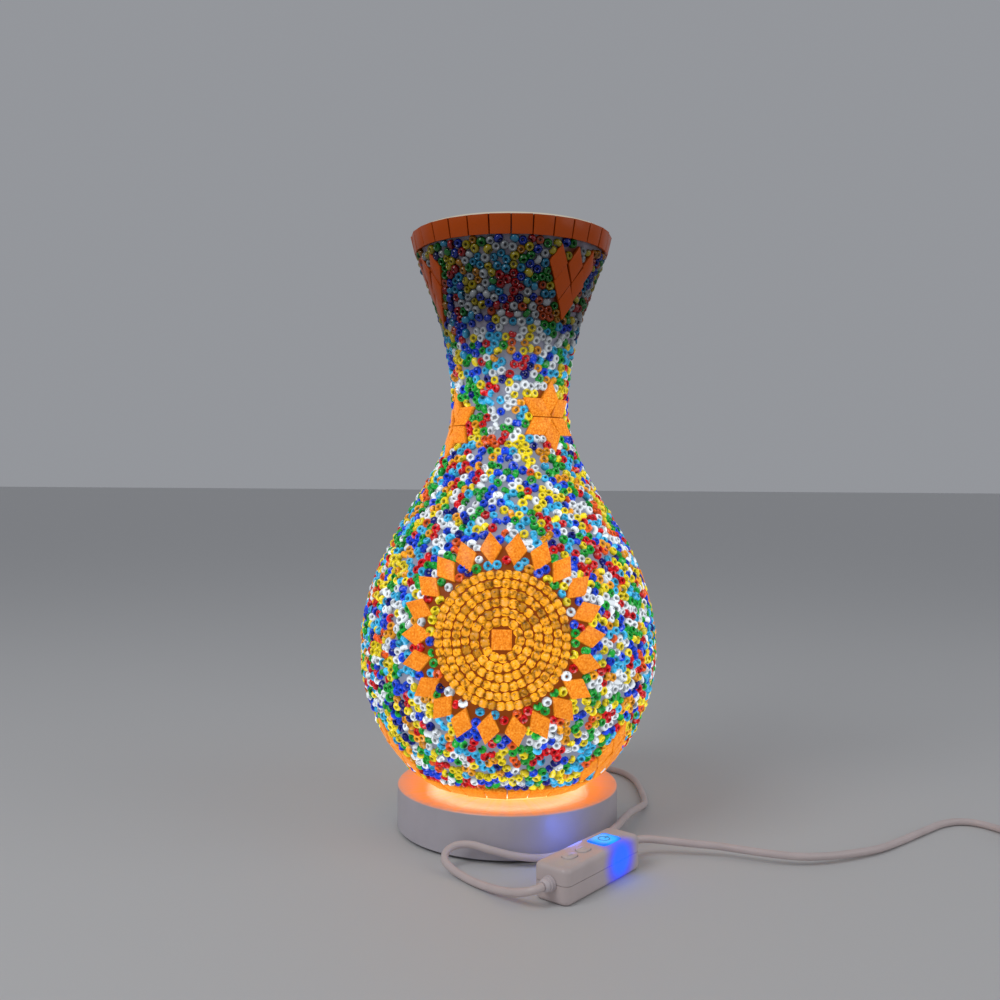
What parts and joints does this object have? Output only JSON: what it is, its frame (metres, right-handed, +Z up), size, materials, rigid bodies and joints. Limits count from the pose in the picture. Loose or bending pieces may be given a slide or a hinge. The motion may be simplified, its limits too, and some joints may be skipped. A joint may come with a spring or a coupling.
{
  "type": "mosaic glass table lamp",
  "caption": "Flared mosaic glass vase lamp standing on a round light base, with a low-voltage lead, an inline button controller and a plug.",
  "frame": {"origin": "on the table under the middle of the round light base", "axes": "+Z up along the vase's axis, -Y towards the front with one sun motif, +X to the right"},
  "size_m": [0.3448, 0.1905, 0.2674],
  "materials": {
    "base_plastic": "smooth moulded white",
    "rubber_foot": "matt",
    "screw_steel": "plated",
    "circuit_board": "solder masked laminate",
    "led_lens": "warm white phosphor",
    "light_disc": "milky diffuser",
    "cord_plastic": "soft satin jacket",
    "vase_glass": "clear blown",
    "mixed_beads": "mixed white, clear, blue, green, yellow and red seed beads in pale adhesive",
    "amber_beads": "transparent amber beads in rings",
    "orange_tile": "streaky orange cut glass",
    "controller_plastic": "fine moulded white",
    "power_button": "translucent, lit blue from inside",
    "switch_plastic": "black",
    "indicator_glow": "blue",
    "tie_plastic": "black",
    "plug_metal": "plated pressed shell"
  },
  "bodies": {
    "base": {"base_shell": "base_plastic", "base_plate": "base_plastic", "foot_pad_1": "rubber_foot", "foot_pad_2": "rubber_foot", "foot_pad_3": "rubber_foot", "foot_pad_4": "rubber_foot", "plate_screw_1": "screw_steel", "plate_screw_2": "screw_steel", "plate_screw_3": "screw_steel", "led_board": "circuit_board", "led_1": "led_lens", "led_2": "led_lens", "led_3": "led_lens", "led_4": "led_lens", "led_5": "led_lens", "led_6": "led_lens", "light_disc": "light_disc", "cord_gland": "cord_plastic", "board_lead": "cord_plastic", "controller_lower_shell": "controller_plastic", "controller_upper_shell": "controller_plastic", "controller_board": "circuit_board", "controller_switch_1": "switch_plastic", "controller_switch_2": "switch_plastic", "controller_switch_3": "switch_plastic", "indicator_led": "indicator_glow", "lamp_side_relief": "cord_plastic", "supply_side_relief": "cord_plastic", "lamp_lead": "cord_plastic", "supply_lead": "cord_plastic", "supply_coil": "cord_plastic", "coil_tie": "tie_plastic", "plug_overmould": "cord_plastic", "plug_shield": "plug_metal", "plug_tongue": "switch_plastic"},
    "vase": {"glass_vase": "vase_glass", "bead_field": "mixed_beads", "foot_tile_ring": "orange_tile", "rim_tile_ring": "orange_tile", "sun_centre_tile_1": "orange_tile", "sun_centre_tile_2": "orange_tile", "sun_centre_tile_3": "orange_tile", "sun_bead_disc_1": "amber_beads", "sun_bead_disc_2": "amber_beads", "sun_bead_disc_3": "amber_beads", "sun_ray_ring_1": "orange_tile", "sun_ray_ring_2": "orange_tile", "sun_ray_ring_3": "orange_tile", "neck_star_1": "orange_tile", "neck_star_2": "orange_tile", "neck_star_3": "orange_tile", "flare_tile_group_1": "orange_tile", "flare_tile_group_2": "orange_tile", "flare_tile_group_3": "orange_tile", "foot_tile_group_1": "orange_tile", "foot_tile_group_2": "orange_tile", "foot_tile_group_3": "orange_tile"},
    "dim_button": {"dim_button": "controller_plastic"},
    "mode_button": {"mode_button": "controller_plastic"},
    "power_button": {"power_button": "power_button"}
  },
  "joints": [
    {"name": "vase_lift", "type": "slide", "parent": "base", "child": "vase", "axis": [0, 0, 1], "range_m": [0, 0.04]},
    {"name": "dim_button_press", "type": "slide", "parent": "base", "child": "dim_button", "axis": [0, 0, -1], "range_m": [0, 0.0005], "stiffness_N_per_m": 300, "springref_m": -0.0005},
    {"name": "mode_button_press", "type": "slide", "parent": "base", "child": "mode_button", "axis": [0, 0, -1], "range_m": [0, 0.0005], "stiffness_N_per_m": 300, "springref_m": -0.0005},
    {"name": "power_button_press", "type": "slide", "parent": "base", "child": "power_button", "axis": [0, 0, -1], "range_m": [0, 0.0005], "stiffness_N_per_m": 300, "springref_m": -0.0005}
  ]
}
